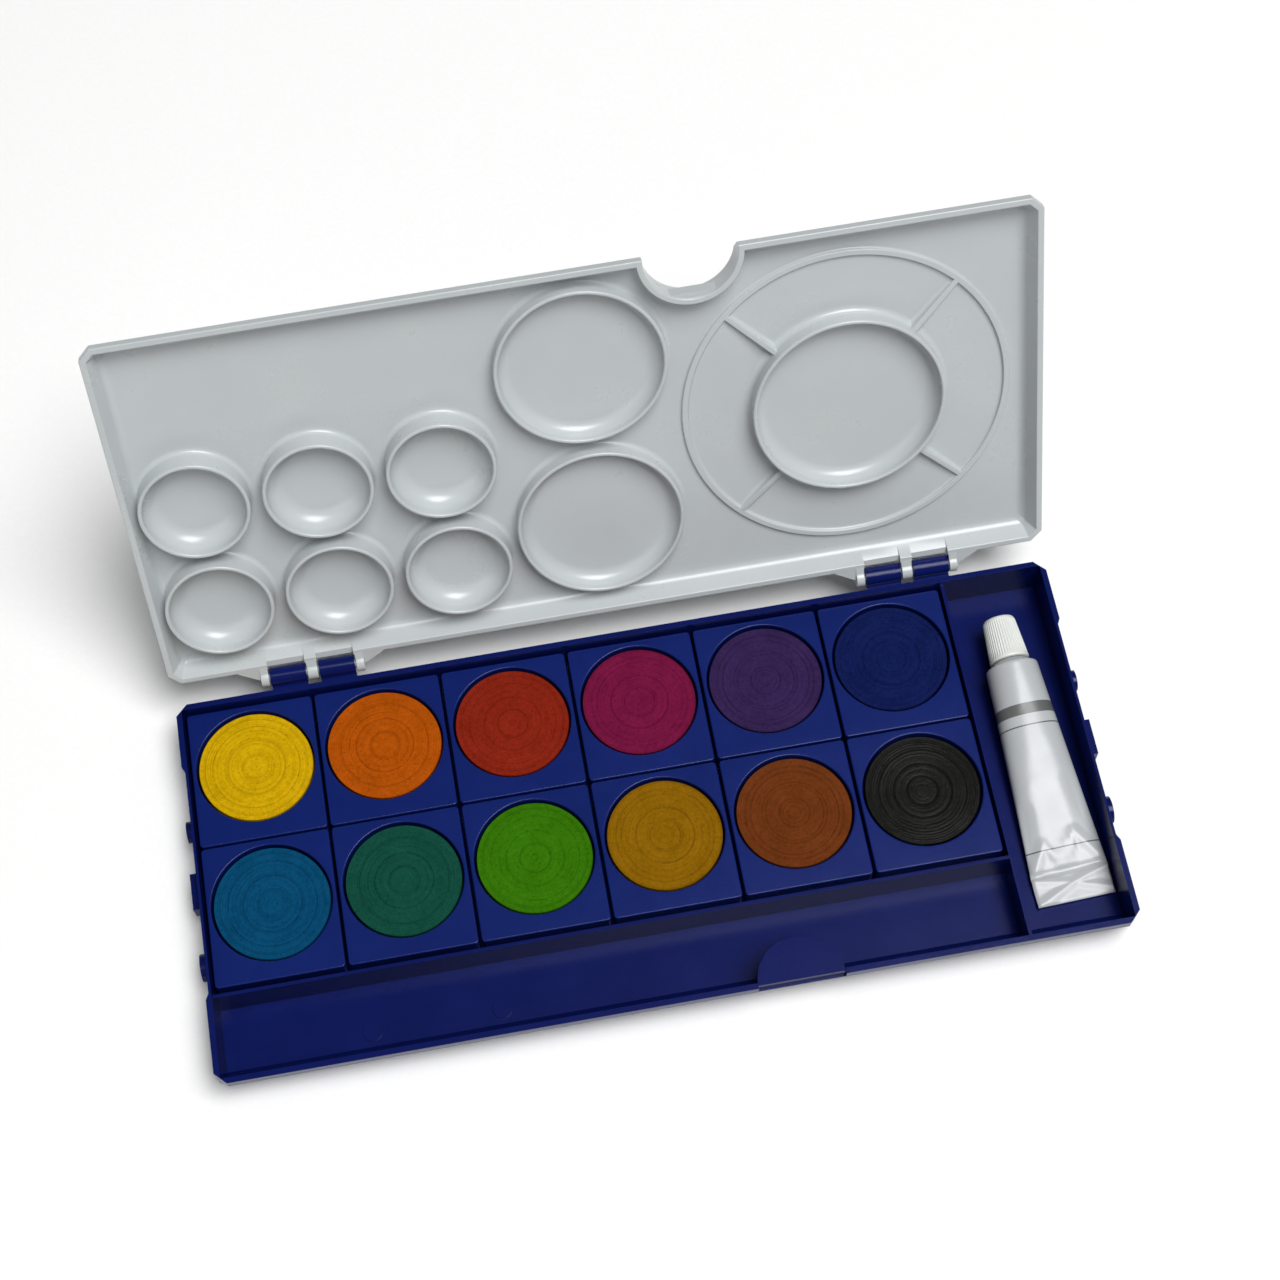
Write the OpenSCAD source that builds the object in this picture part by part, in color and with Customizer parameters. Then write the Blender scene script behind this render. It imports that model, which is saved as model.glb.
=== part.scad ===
// Gouache paint set box: a low plastic tray and a hinged lid, twelve lift-out
// pans of pressed gouache, a paint tube beside them and mixing wells in the lid.
// The origin is the centre of the tray's underside. X runs along the hinge,
// -Y is the front, +Z is up, and every size is in millimetres.
// The lid is drawn closed and then turned open about its hinge pins.

/* [Pans] */
// Number of pans in a row
pan_cols = 6; // [2:1:8]
// Spacing of the pans along X
pan_pitch_x = 34.1; // [33:0.05:38]
// Spacing of the two rows along Y
pan_pitch_y = 38.15; // [35:0.05:42]
// Gap between neighbouring pans of one row
pan_gap_x = 0.8; // [0.4:0.05:1.2]
// Gap between the two rows of pans
pan_gap_y = 0.5; // [0.4:0.05:1.2]
// Height of a pan
pan_h = 10.2; // [8:0.1:14]
// Wall and plate thickness of a pan
pan_wall = 1.2; // [0.8:0.1:1.6]
// Radius of a pan's upright corners
pan_corner_r = 1; // [0.5:0.1:2]
// Distance of the round well from the pan's middle towards the hinge
well_back = 1.5; // [0:0.1:2]

/* [Paint] */
// Radius of a pressed paint tablet
tablet_r = 15; // [12:0.05:15.4]
// Thickness of a paint tablet
tablet_t = 6.5; // [4:0.1:8]
// Depth of the tablet's top below the pan's top
tablet_low = 0.7; // [0.2:0.1:2]
// Gap round a tablet in its well
tablet_gap = 0.6; // [0.1:0.05:0.8]

/* [Tray] */
// Thickness of the tray's outer walls
wall = 1.5; // [1.3:0.1:2.5]
// Thickness of the tray's floor
floor_t = 1.4; // [1:0.1:2.5]
// Thickness of the two partitions
rib_t = 0.9; // [0.7:0.1:1.6]
// Depth of the partitions' top edges below the rim
rib_low = 1.5; // [0.5:0.1:3]
// Height of the rim above the pans
rim_over_pans = 2.9; // [2.2:0.05:5]
// Play between the pans and the tray's side and back walls
pan_play = 0.25; // [0.1:0.05:0.8]
// Gap between the pans and the brush partition
pan_front_gap = 1.6; // [0.4:0.1:3]
// Width of the brush channel at the rim
brush_d = 21.1; // [18:0.1:30]
// Room beside the tube's folded end, on each side
tube_room = 2.8; // [2.7:0.05:6]
// Size of the outline's cut corners
corner_cut = 3; // [1:0.1:5]
// Height of the tray's upright front skirt
skirt_h = 3; // [2:0.1:5]
// Distance that the front leans in below its skirt
front_lean = 5.5; // [2:0.1:7]

/* [Thumb pad] */
// Distance of the thumb pad and the lid's notch from the tray's middle
thumb_x = 30.3; // [-40:0.1:40]
// Radius of the thumb pad
pad_r = 11.2; // [9:0.1:12]
// Depth of the thumb pad's top below the rim
pad_low = 0.6; // [0.3:0.1:2]
// Distance of the thumb pad's straight edge behind the tray's front
pad_back = 0.9; // [0.5:0.1:1.2]
// Wall and plate thickness of the thumb pad
pad_wall = 1.4; // [1:0.1:2]

/* [Side pegs] */
// Depth of the shallow recess in each side wall
recess = 0.8; // [0.4:0.05:0.9]
// Distance of the recess's front end from the tray's front
recess_front = 22; // [15:0.5:24]
// Length of the recess
recess_l = 63.5; // [60:0.5:70]
// Height of the pegs' axes above the underside
peg_z = 8; // [7:0.1:9]
// Radius of the back peg
peg_r = 2.85; // [2:0.05:3.5]
// Radius of the front peg
front_peg_r = 3.6; // [3:0.05:4]
// Length of the pegs from the bottom of the recess
peg_l = 1.9; // [1.2:0.1:4]
// Distance of the back peg from the tray's front
peg_y = 69.7; // [66:0.1:74]
// Distance of the front peg from the tray's front
front_peg_y = 32.5; // [30:0.1:36]
// Distance of the plate's middle from the tray's front
plate_y = 52.4; // [48:0.1:56]
// Length of the plate between the pegs
plate_l = 9.8; // [6:0.1:14]
// Height of the plate between the pegs
plate_h = 5; // [3:0.1:7]
// Length of the plate from the bottom of the recess
plate_out = 2.2; // [1.2:0.1:4]

/* [Hinge] */
// Angle between the closed lid and the lid resting open
lid_open = 117.4; // [90:0.1:120]
// Distance of each hinge's middle from the tray's end
hinge_inset = 37.3; // [30:0.1:60]
// Radius of the tray's barrels
barrel_r = 2.5; // [2.2:0.05:3]
// Length of one tray barrel
barrel_l = 9.5; // [6:0.1:14]
// Radius of the lid's pins
pin_r = 1.25; // [1:0.05:1.4]
// Radial running clearance of the pins
pin_play = 0.08; // [0.02:0.01:0.1]
// Gap between the barrels and the back of the case
barrel_gap = 0.8; // [0.5:0.05:1.5]
// Height of the hinge axis above the rim
hinge_up = 1; // [0.6:0.05:1.5]
// Width of the lid's middle knuckle
mid_knuckle = 2.8; // [2:0.1:4]
// Width of the lid's end knuckles
end_knuckle = 2.2; // [1.5:0.1:4]
// Gap between a knuckle and a barrel
knuckle_gap = 0.35; // [0.2:0.05:0.6]
// Length of the flat rib beside each end knuckle
gusset_l = 5.6; // [3:0.1:8]
// Width of the slot that lets a barrel snap onto its pin
snap_slot = 1.9; // [1:0.1:2]

/* [Lid] */
// Depth of the lid from its rim to its top
lid_h = 6.4; // [5.8:0.1:9]
// Height of the lid's upright skirt
lid_skirt = 2.1; // [1.2:0.1:3]
// Distance that the lid's edge leans in above its skirt
lid_lean = 3.3; // [1.5:0.1:5]
// Thickness of the lid's rim
lid_wall = 1.6; // [1.2:0.1:2.2]
// Thickness of the lid's plate
lid_plate = 1.4; // [1:0.1:2.2]
// Gap between the closed lid and the tray's rim
lid_gap = 0.12; // [0.05:0.01:0.4]
// Radius of the thumb notch in the lid's free edge
notch_r = 11.7; // [10:0.1:14]
// Height of the thumb ledge inside the notch
ledge_h = 3.2; // [2:0.1:4]
// Depth of the thumb ledge along the lid
ledge_d = 1.5; // [0.8:0.1:3]

/* [Palette] */
// Radius of a small cup, to the middle of its rim
cup_r = 13.45; // [11:0.05:14]
// Spacing of the small cups
cup_pitch = 31.2; // [30:0.1:32]
// Distance of the first cup from the lid's end
cup_x = 17.8; // [17:0.1:20]
// Distance of the first row of cups from the lid's hinge edge
cup_y = 22.3; // [19:0.1:24]
// Height of the cups' rims above the lid's rim, towards the pans
cup_proud = 1.4; // [0:0.1:1.6]
// Radius of a mixing dish, to the middle of its rim
dish_r = 21.25; // [18:0.05:21.5]
// Gap between the two dishes, between the middles of their rims
dish_gap = 4.6; // [3:0.1:8]
// Depth of the dishes' rims below the lid's rim
dish_low = 0.4; // [0:0.1:1.5]
// Radius of the large round palette
palette_r = 41.85; // [38:0.05:42.5]
// Distance of the large palette's edge from the lid's end
palette_margin = 8.5; // [7:0.1:12]
// Radius of the dish in the middle of the large palette
core_r = 24.45; // [18:0.05:28]
// Height of the large palette's edge above the lid's inner floor
palette_edge = 0.9; // [0.5:0.1:2]
// Height of the four spokes above the lid's inner floor, at the middle dish
spoke_h = 2.4; // [0.6:0.1:3]
// Width of the rims of cups, dishes and spokes
crest = 1.3; // [0.8:0.1:2]
// Rounding of a small cup's floor
cup_bowl = 4.5; // [2:0.1:5]
// Rounding of a mixing dish's floor
dish_bowl = 3.5; // [2:0.1:4]
// Rounding of the middle dish's floor
core_bowl = 3.5; // [2:0.1:4]
// Fillet at the foot of the cups and dishes
well_foot = 1.2; // [0.4:0.1:1.3]
// Distance that the wells lie nearer the free edge than the lid's middle
palette_shift = 0.5; // [0:0.1:2]

/* [Tube] */
// Radius of the full tube
tube_r = 7; // [5:0.1:7.5]
// Length of the tube from its shoulder to its folded end
tube_l = 57.5; // [45:0.5:60]
// Length of the folded end
fold_l = 7.2; // [3:0.1:8]
// Width of the folded end
fold_w = 20.8; // [16:0.1:21]
// Thickness of the folded end
fold_t = 1.3; // [1:0.1:2]
// Wall thickness of the tube
tube_wall = 0.4; // [0.2:0.05:0.6]
// Angle of the tube across its compartment
tube_angle = 2.2; // [0:0.1:2.4]
// Dip of the tube's folded end
tube_dip = 5.5; // [0:0.1:5.6]
// Gap between the tube and the tray's floor
tube_gap = 0.3; // [0.2:0.05:1]
// Distance of the tube's cap from the back wall
tube_back = 11.6; // [6:0.1:14]
// Distance of the tube's neck from the partition
tube_side = 13.2; // [10.5:0.1:13.4]
// Length of the shoulder
shoulder_l = 1.8; // [1:0.1:4]
// Radius of the neck
neck_r = 3.2; // [2.5:0.05:3.6]
// Length of the neck
neck_l = 7; // [4:0.1:8]
// Radius of the nozzle's hole
nozzle_r = 1.4; // [0.8:0.1:2]
// Radius of the cap at its foot
cap_r = 5.35; // [4.8:0.05:6]
// Radius of the cap at its top
cap_top_r = 4.3; // [4:0.05:5]
// Length of the cap
cap_l = 12; // [10:0.1:16]
// Radial clearance of the cap on the neck
cap_play = 0.08; // [0.02:0.01:0.1]
// Gap between the cap and the shoulder
cap_gap = 0.2; // [0.1:0.05:0.6]

/* [Hidden] */
PAINTS = [
    ["yellow", [0.93, 0.75, 0.02]], ["orange", [0.9, 0.45, 0.04]],
    ["red", [0.78, 0.18, 0.12]], ["magenta", [0.72, 0.12, 0.4]],
    ["violet", [0.34, 0.24, 0.5]], ["ultramarine", [0.12, 0.17, 0.5]],
    ["cyan", [0.03, 0.45, 0.62]], ["green", [0.11, 0.43, 0.35]],
    ["lime", [0.35, 0.65, 0.08]], ["ochre", [0.8, 0.6, 0.05]],
    ["brown", [0.62, 0.33, 0.15]], ["black", [0.15, 0.15, 0.14]]];
$fn = 48;
// Overlap that lets cuts pass through and unions bite
bite = 1;
// Distance that the folded end's faces lie inside the body's edge
fold_in = 0.06;

tube_bay = fold_w + 2 * tube_room;
tray_w = 2 * wall + 2 * pan_play + pan_cols * pan_pitch_x + rib_t + tube_bay;
tray_d = 2 * wall + brush_d + rib_t + pan_front_gap + 2 * pan_pitch_y + pan_play;
tray_h = floor_t + pan_h + rim_over_pans;
left = -tray_w / 2;
front = -tray_d / 2;
back = tray_d / 2;
pans_left = left + wall + pan_play;
pans_back = back - wall - pan_play;
side_rib_x = pans_left + pan_cols * pan_pitch_x + pan_play;
bay_left = side_rib_x + rib_t;
brush_back = front + wall + brush_d;
rib_top = tray_h - rib_low;
lean_per_mm = front_lean / (tray_h - skirt_h);
floor_lean = front_lean - lean_per_mm * floor_t;

pan_w = pan_pitch_x - pan_gap_x;
pan_d = pan_pitch_y - pan_gap_y;
pan_top = floor_t + pan_h;
well_r = tablet_r + tablet_gap;
tablet_top = pan_top - tablet_low;
well_floor = tablet_top - tablet_t;

hinge_y = back + barrel_r + barrel_gap;
hinge_z = tray_h + hinge_up;
hinge_x = tray_w / 2 - hinge_inset;
barrel_start = mid_knuckle / 2 + knuckle_gap;
barrel_end = barrel_start + barrel_l;
knuckle_start = barrel_end + knuckle_gap;
knuckle_end = knuckle_start + end_knuckle;
knuckle_r = barrel_r - 0.1;

lid_rim = tray_h + lid_gap;
lid_floor = lid_h - lid_plate;
lid_lean_in = lid_lean * lid_floor / lid_h;
cup_end = cup_x + 2 * cup_pitch + cup_r;
palette_x = tray_w - palette_margin - palette_r;
dish_x = (cup_end + palette_x - palette_r) / 2;
palette_y = tray_d / 2 - palette_shift;
spoke_low = lid_floor - spoke_h;

tube_y = back - wall - tube_back - cap_l - cap_gap - shoulder_l;
tube_x = bay_left + tube_side;
tube_z = floor_t + tube_gap + tube_r;

// Outline of the case with its cut corners, drawn in by a margin.
module outline(margin = 0) {
    x = tray_w / 2 - margin;
    y = tray_d / 2 - margin;
    c = corner_cut - margin * (2 - sqrt(2));
    polygon([[c - x, -y], [x - c, -y], [x, c - y], [x, y - c],
        [x - c, y], [c - x, y], [-x, y - c], [-x, c - y]]);
}

// Long prism along X with the given outline in Y and Z.
module bar_x(points, length) {
    rotate([90, 0, 90]) linear_extrude(height = length, center = true) polygon(points);
}

// Long prism whose sides lean as the pairs [height, inset] say, turned about Z.
module leaning(half, length, levels, turn) {
    up = [for (l = levels) [half - l[1], l[0]]];
    down = [for (i = [len(levels) - 1 : -1 : 0]) [levels[i][1] - half, levels[i][0]]];
    rotate([0, 0, turn]) bar_x(concat(up, down), length);
}

// Case outline whose upright and leaning edges follow the pairs [height, inset].
module leaning_box(levels) {
    reach = tray_w + tray_d;
    diagonal = (tray_w / 2 + tray_d / 2 - corner_cut) / sqrt(2);
    intersection() {
        leaning(tray_d / 2, reach, levels, 0);
        leaning(tray_w / 2, reach, levels, 90);
        leaning(diagonal, reach, levels, 45);
        leaning(diagonal, reach, levels, -45);
    }
}

// Box given by two opposite corners.
module block(low, high) {
    translate(low) cube(high - low);
}

// Upright prism of the tray, its front leaning in below the skirt.
module tray_outside() {
    intersection() {
        linear_extrude(height = tray_h) outline();
        bar_x([[front + front_lean, 0], [back, 0], [back, tray_h],
            [front, tray_h], [front, tray_h - skirt_h]], tray_w);
    }
}

// Bay of the pans, between the left wall and the two partitions.
module pan_bay() {
    block([left + wall, brush_back + rib_t, floor_t], [side_rib_x, back - wall, tray_h + bite]);
}

// Channel for brushes along the front, following the leaning wall.
module brush_bay() {
    inner = front + wall;
    translate([(left + wall + side_rib_x) / 2, 0, 0])
        bar_x([[inner + floor_lean, floor_t], [brush_back, floor_t], [brush_back, tray_h + bite],
            [inner, tray_h + bite], [inner, tray_h - skirt_h]], side_rib_x - left - wall);
}

// Compartment of the tube, from the back wall to the leaning front.
module tube_compartment() {
    inner = front + wall;
    translate([bay_left + tube_bay / 2, 0, 0])
        bar_x([[inner + floor_lean, floor_t], [back - wall, floor_t], [back - wall, tray_h + bite],
            [inner, tray_h + bite], [inner, tray_h - skirt_h]], tube_bay);
}

// Room above the two partitions, which end below the rim.
module over_partitions() {
    translate([0, 0, rib_top]) linear_extrude(height = rib_low + bite) outline(wall);
}

// Half-round pad that fills the lid's thumb notch from below, open underneath.
module thumb_pad() {
    intersection() {
        translate([thumb_x, front + pad_back, floor_t / 2])
            cylinder(h = tray_h - pad_low - floor_t / 2, r = pad_r);
        tray_outside();
    }
}

module thumb_pad_hollow() {
    y = front + pad_back;
    intersection() {
        translate([thumb_x, y, -bite])
            cylinder(h = tray_h - pad_low - pad_wall + bite, r = pad_r - pad_wall);
        block([left, y + pad_wall, -bite], [-left, back, tray_h]);
    }
}

// Space cut from the rim in front of and above the thumb pad.
module thumb_pad_cut() {
    y = front + pad_back;
    block([thumb_x - pad_r, front - bite, tray_h - skirt_h - pad_low],
        [thumb_x + pad_r, y, tray_h + bite]);
    block([thumb_x - pad_r, front - bite, tray_h - pad_low],
        [thumb_x + pad_r, front + wall + bite / 4, tray_h + bite]);
}

// Shallow recess in one side wall, with sloping ends.
module side_recess(side) {
    y0 = front + recess_front;
    y1 = y0 + recess_l;
    x = side * tray_w / 2;
    translate([0, 0, -bite]) linear_extrude(height = tray_h + 2 * bite)
        polygon([[x, y0], [x - side * recess, y0 + 2 * recess],
            [x - side * recess, y1 - 2 * recess], [x, y1],
            [x + side * bite, y1], [x + side * bite, y0]]);
}

// Round peg that stands out of a side wall.
module side_peg(side, y, r) {
    translate([side * (tray_w / 2 - wall / 2 - recess / 2), front + y, peg_z])
        rotate([0, side * 90, 0]) cylinder(h = wall / 2 - recess / 2 + peg_l, r = r);
}

// Flat block between the two pegs of a side wall.
module side_plate(side) {
    inner = side * (tray_w / 2 - wall / 2 - recess / 2);
    outer = side * (tray_w / 2 - recess + plate_out);
    block([min(inner, outer), front + plate_y - plate_l / 2, peg_z - plate_h / 2],
        [max(inner, outer), front + plate_y + plate_l / 2, peg_z + plate_h / 2]);
}

// One tray barrel with its arm, from x = 0 along X.
module tray_barrel() {
    translate([0, hinge_y, hinge_z]) rotate([0, 90, 0]) cylinder(h = barrel_l, r = barrel_r);
    block([0, back - wall / 2, hinge_z - barrel_r], [barrel_l, hinge_y, tray_h - 0.1]);
}

// Bore and snap slot of one tray barrel, from x = 0 along X.
module tray_barrel_bore() {
    translate([-bite / 4, hinge_y, hinge_z])
        rotate([0, 90, 0]) cylinder(h = barrel_l + bite / 2, r = pin_r + pin_play);
    block([-bite / 4, hinge_y - snap_slot / 2, hinge_z - barrel_r - bite],
        [barrel_l + bite / 4, hinge_y + snap_slot / 2, hinge_z]);
}

// The four tray barrels, or their bores, in their places.
module at_barrels() {
    for (x = [-hinge_x, hinge_x])
        for (start = [-barrel_end, barrel_start])
            translate([x + start, 0, 0]) children();
}

module tray() {
    color([0.07, 0.1, 0.4]) difference() {
        union() {
            difference() {
                tray_outside();
                pan_bay();
                brush_bay();
                tube_compartment();
                over_partitions();
                side_recess(-1);
                side_recess(1);
            }
            thumb_pad();
            for (side = [-1, 1]) {
                side_peg(side, peg_y, peg_r);
                side_peg(side, front_peg_y, front_peg_r);
                side_plate(side);
            }
            at_barrels() tray_barrel();
        }
        thumb_pad_hollow();
        thumb_pad_cut();
        at_barrels() tray_barrel_bore();
    }
}

// Place in a row for column i, and the middle of row j, counted from the back.
function pan_x(i) = pans_left + (i + 0.5) * pan_pitch_x;
function pan_y(j) = pans_back - (j + 0.5) * pan_pitch_y;

// Rectangle with round corners.
module round_plate(w, d, r) {
    square([w - 2 * r, d], center = true);
    square([w, d - 2 * r], center = true);
    for (x = [r - w / 2, w / 2 - r])
        for (y = [r - d / 2, d / 2 - r])
            translate([x, y]) circle(r = r);
}

// One pan: a square cap over a round cup, open underneath between the two.
module pan(k) {
    i = k % pan_cols;
    j = floor(k / pan_cols);
    color([0.09, 0.13, 0.45]) translate([pan_x(i), pan_y(j), floor_t]) difference() {
        linear_extrude(height = pan_h) round_plate(pan_w, pan_d, pan_corner_r);
        difference() {
            translate([0, 0, (pan_h - pan_wall - bite) / 2])
                cube([pan_w - 2 * pan_wall, pan_d - 2 * pan_wall, pan_h - pan_wall + bite], center = true);
            translate([0, well_back, -2 * bite]) cylinder(h = pan_h + 2 * bite, r = well_r + pan_wall);
        }
        translate([0, well_back, well_floor - floor_t]) cylinder(h = pan_h, r = well_r);
        translate([0, well_back, -bite])
            cylinder(h = well_floor - floor_t - pan_wall + bite, r = well_r - pan_wall);
    }
}

// One pressed tablet of gouache, lying in its pan's cup.
module paint(k) {
    i = k % pan_cols;
    j = floor(k / pan_cols);
    color(PAINTS[k % len(PAINTS)][1])
        translate([pan_x(i), pan_y(j) + well_back, well_floor]) cylinder(h = tablet_t, r = tablet_r);
}

// Points of a quarter circle about [x, y], from angle a to angle b.
function quarter(x, y, r, a, b) =
    [for (i = [0 : 3]) [x + r * cos(a + (b - a) * i / 3), y + r * sin(a + (b - a) * i / 3)]];

// Ring-shaped wall of a well: a rounded rim at height top, a bowl rounded into the
// floor inside it and a fillet at its foot outside.
// Heights are counted from the lid's rim towards its plate.
module well(r, top, bowl) {
    edge = crest / 3;
    room = 0.9 * (lid_floor - top - edge);
    arc = min(bowl, room);
    foot = min(well_foot, room);
    inner = r - crest / 2;
    outer = r + crest / 2;
    deep = lid_floor + lid_plate / 4;
    rotate_extrude($fn = 96) polygon(concat(
        [[outer + foot, deep]],
        quarter(outer + foot, lid_floor - foot, foot, 90, 180),
        quarter(outer - edge, top + edge, edge, 0, -90),
        quarter(inner + edge, top + edge, edge, -90, -180),
        quarter(inner - arc, lid_floor - arc, arc, 0, 45),
        quarter(inner - arc, lid_floor - arc, arc, 60, 90),
        [[inner - arc, deep]]));
}

// Places something at x and y counted from the lid's left end and free edge.
module on_lid(x, y) {
    translate([left + x, front + y, 0]) children();
}

// The six cups, two dishes and large round palette.
module wells() {
    for (i = [0 : 2])
        for (j = [0 : 1])
            on_lid(cup_x + i * cup_pitch, tray_d - cup_y - j * cup_pitch)
                well(cup_r, -cup_proud, cup_bowl);
    for (side = [-1, 1])
        on_lid(dish_x, palette_y + side * (dish_r + dish_gap / 2)) well(dish_r, dish_low, dish_bowl);
    on_lid(palette_x, palette_y) {
        well(core_r, 0, core_bowl);
        well(palette_r, lid_floor - palette_edge, palette_edge);
        for (turn = [45 : 90 : 315]) rotate([0, 0, turn]) spoke();
    }
}

// One spoke, sloping down from the middle dish to the palette's edge.
module spoke() {
    rotate([90, 0, 0]) linear_extrude(height = crest * 0.8, center = true)
        polygon([[core_r, lid_floor + lid_plate / 4], [core_r, spoke_low],
            [palette_r, lid_floor - palette_edge], [palette_r, lid_floor + lid_plate / 4]]);
}

// Knuckles, pins and side ribs of one hinge, centred on x = 0, in the lid's place when closed.
module lid_knuckles() {
    middle = [-mid_knuckle / 2, mid_knuckle / 2];
    for (x = [[-knuckle_end, -knuckle_start], middle, [knuckle_start, knuckle_end]]) {
        translate([x[0], hinge_y, hinge_z - lid_rim])
            rotate([0, 90, 0]) cylinder(h = x[1] - x[0], r = knuckle_r);
        block([x[0], back - lid_wall / 2, 0], [x[1], hinge_y, lid_skirt]);
    }
    translate([-knuckle_end + end_knuckle / 2, hinge_y, hinge_z - lid_rim])
        rotate([0, 90, 0]) cylinder(h = 2 * knuckle_end - end_knuckle, r = pin_r);
    for (side = [-1, 1])
        linear_extrude(height = lid_skirt * 0.8)
            polygon([[side * knuckle_start, back - lid_wall / 2], [side * knuckle_start, hinge_y],
                [side * knuckle_end, hinge_y], [side * (knuckle_end + gusset_l), back],
                [side * (knuckle_end + gusset_l), back - lid_wall / 2]]);
}

// Openings in the lid's rim that clear the tray's barrels.
module rim_cuts() {
    for (x = [-hinge_x, hinge_x])
        for (side = [-1, 1])
            translate([x + side * (barrel_start + barrel_end) / 2, back, 0])
                cube([barrel_l + knuckle_gap, 3 * lid_wall, 2 * hinge_up], center = true);
}

// The closed lid, with its rim's plane at height 0.
module closed_lid() {
    notch = [thumb_x, front + pad_back, -2 * bite];
    inside = [[-bite, lid_wall], [0, lid_wall], [lid_floor, lid_wall + lid_lean_in]];
    difference() {
        union() {
            difference() {
                leaning_box([[0, 0], [lid_skirt, 0], [lid_h, lid_lean]]);
                leaning_box(inside);
            }
            intersection() {
                translate(notch) cylinder(h = lid_h + 2 * bite - lid_plate / 2, r = notch_r + lid_wall);
                leaning_box([[0, 0], [lid_skirt, 0], [lid_h, lid_lean]]);
            }
            wells();
            for (x = [-hinge_x, hinge_x]) translate([x, 0, 0]) lid_knuckles();
        }
        difference() {
            translate(notch) cylinder(h = lid_h + 4 * bite, r = notch_r);
            block([thumb_x - notch_r, notch[1] + notch_r - ledge_d, lid_wall / 2],
                [thumb_x + notch_r, notch[1] + notch_r + bite, lid_wall / 2 + ledge_h]);
        }
        rim_cuts();
    }
}

module lid() {
    color([0.85, 0.87, 0.88])
        translate([0, hinge_y, hinge_z]) rotate([-lid_open, 0, 0])
            translate([0, -hinge_y, lid_rim - hinge_z]) closed_lid();
}

// Places something on the tube: z runs from the shoulder's edge along the tube towards its cap.
module on_tube() {
    translate([tube_x, tube_y, tube_z]) rotate([-90, 0, 0]) rotate([tube_dip, 0, 0])
        rotate([0, -tube_angle, 0]) children();
}

// Tube shape that narrows from a round shoulder to a flat end, drawn in by a margin.
module tube_shape(margin) {
    hull() {
        translate([0, 0, -0.5 - margin]) cylinder(h = 0.5, r = tube_r - margin);
        translate([margin - fold_w / 2, margin - fold_t / 2, margin - tube_l])
            cube([fold_w - 2 * margin, fold_t - 2 * margin, 0.1]);
    }
}

module tube_body() {
    color([0.9, 0.9, 0.89]) on_tube() difference() {
        union() {
            tube_shape(0);
            translate([fold_in - fold_w / 2, fold_in - fold_t / 2, -tube_l - fold_l])
                cube([fold_w - 2 * fold_in, fold_t - 2 * fold_in, fold_l + tube_wall / 2]);
            translate([0, 0, -0.3]) cylinder(h = shoulder_l + 0.3, r1 = tube_r - 0.2, r2 = neck_r + 1);
            translate([0, 0, shoulder_l / 2]) cylinder(h = shoulder_l / 2 + neck_l, r = neck_r);
        }
        tube_shape(tube_wall);
        translate([0, 0, -tube_wall - 1]) cylinder(h = shoulder_l + neck_l + 2 * bite, r = nozzle_r);
    }
}

module tube_cap() {
    hole = neck_l + 0.3;
    color([0.95, 0.95, 0.94]) on_tube() translate([0, 0, shoulder_l + cap_gap]) difference() {
        cylinder(h = cap_l, r1 = cap_r, r2 = cap_top_r);
        translate([0, 0, -bite]) cylinder(h = hole + bite, r = neck_r + cap_play);
    }
}

module tube_filling() {
    color([0.96, 0.96, 0.95]) on_tube() tube_shape(tube_wall + 0.1);
}

tray();
lid();
pan(0);  // pan_yellow
pan(1);  // pan_orange
pan(2);  // pan_red
pan(3);  // pan_magenta
pan(4);  // pan_violet
pan(5);  // pan_ultramarine
pan(6);  // pan_cyan
pan(7);  // pan_green
pan(8);  // pan_lime
pan(9);  // pan_ochre
pan(10);  // pan_brown
pan(11);  // pan_black
paint(0);  // paint_yellow
paint(1);  // paint_orange
paint(2);  // paint_red
paint(3);  // paint_magenta
paint(4);  // paint_violet
paint(5);  // paint_ultramarine
paint(6);  // paint_cyan
paint(7);  // paint_green
paint(8);  // paint_lime
paint(9);  // paint_ochre
paint(10);  // paint_brown
paint(11);  // paint_black
tube_body();
tube_cap();
tube_filling();
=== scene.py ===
import math

import bmesh
import bpy
from mathutils import Matrix, Vector, noise


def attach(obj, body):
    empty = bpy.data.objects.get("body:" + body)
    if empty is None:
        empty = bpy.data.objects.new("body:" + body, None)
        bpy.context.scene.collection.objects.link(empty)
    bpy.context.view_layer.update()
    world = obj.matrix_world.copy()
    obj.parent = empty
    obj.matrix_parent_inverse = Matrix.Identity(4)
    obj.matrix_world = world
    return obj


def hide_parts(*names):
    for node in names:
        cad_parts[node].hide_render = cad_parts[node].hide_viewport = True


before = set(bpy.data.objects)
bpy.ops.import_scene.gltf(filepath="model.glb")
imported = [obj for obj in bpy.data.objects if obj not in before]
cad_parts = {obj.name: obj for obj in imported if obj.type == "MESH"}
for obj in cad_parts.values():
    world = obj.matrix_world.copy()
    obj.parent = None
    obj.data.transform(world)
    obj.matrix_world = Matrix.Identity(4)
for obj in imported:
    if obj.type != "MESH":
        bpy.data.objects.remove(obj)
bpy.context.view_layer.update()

# Viewpoint of the photograph: the box is seen from above and a little from the
# front, turned slightly. Its place and lens were worked out from the round tablets,
# the tray's outline and the lid's outline.
MM = 0.001
VIEWPOINT = Vector((-28.19, -212.63, 593.35)) * MM
LENS = 67.06
look = Vector((0.054578, 0.410073, -0.910418)).normalized()
right = Vector((0.984528, -0.174151, -0.019421)).normalized()
camera = bpy.data.objects.new("camera", bpy.data.cameras.new("camera"))
bpy.context.scene.collection.objects.link(camera)
camera.data.sensor_width = 36
camera.data.lens = LENS
camera.data.clip_start = 0.01
camera.data.clip_end = 20
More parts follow.
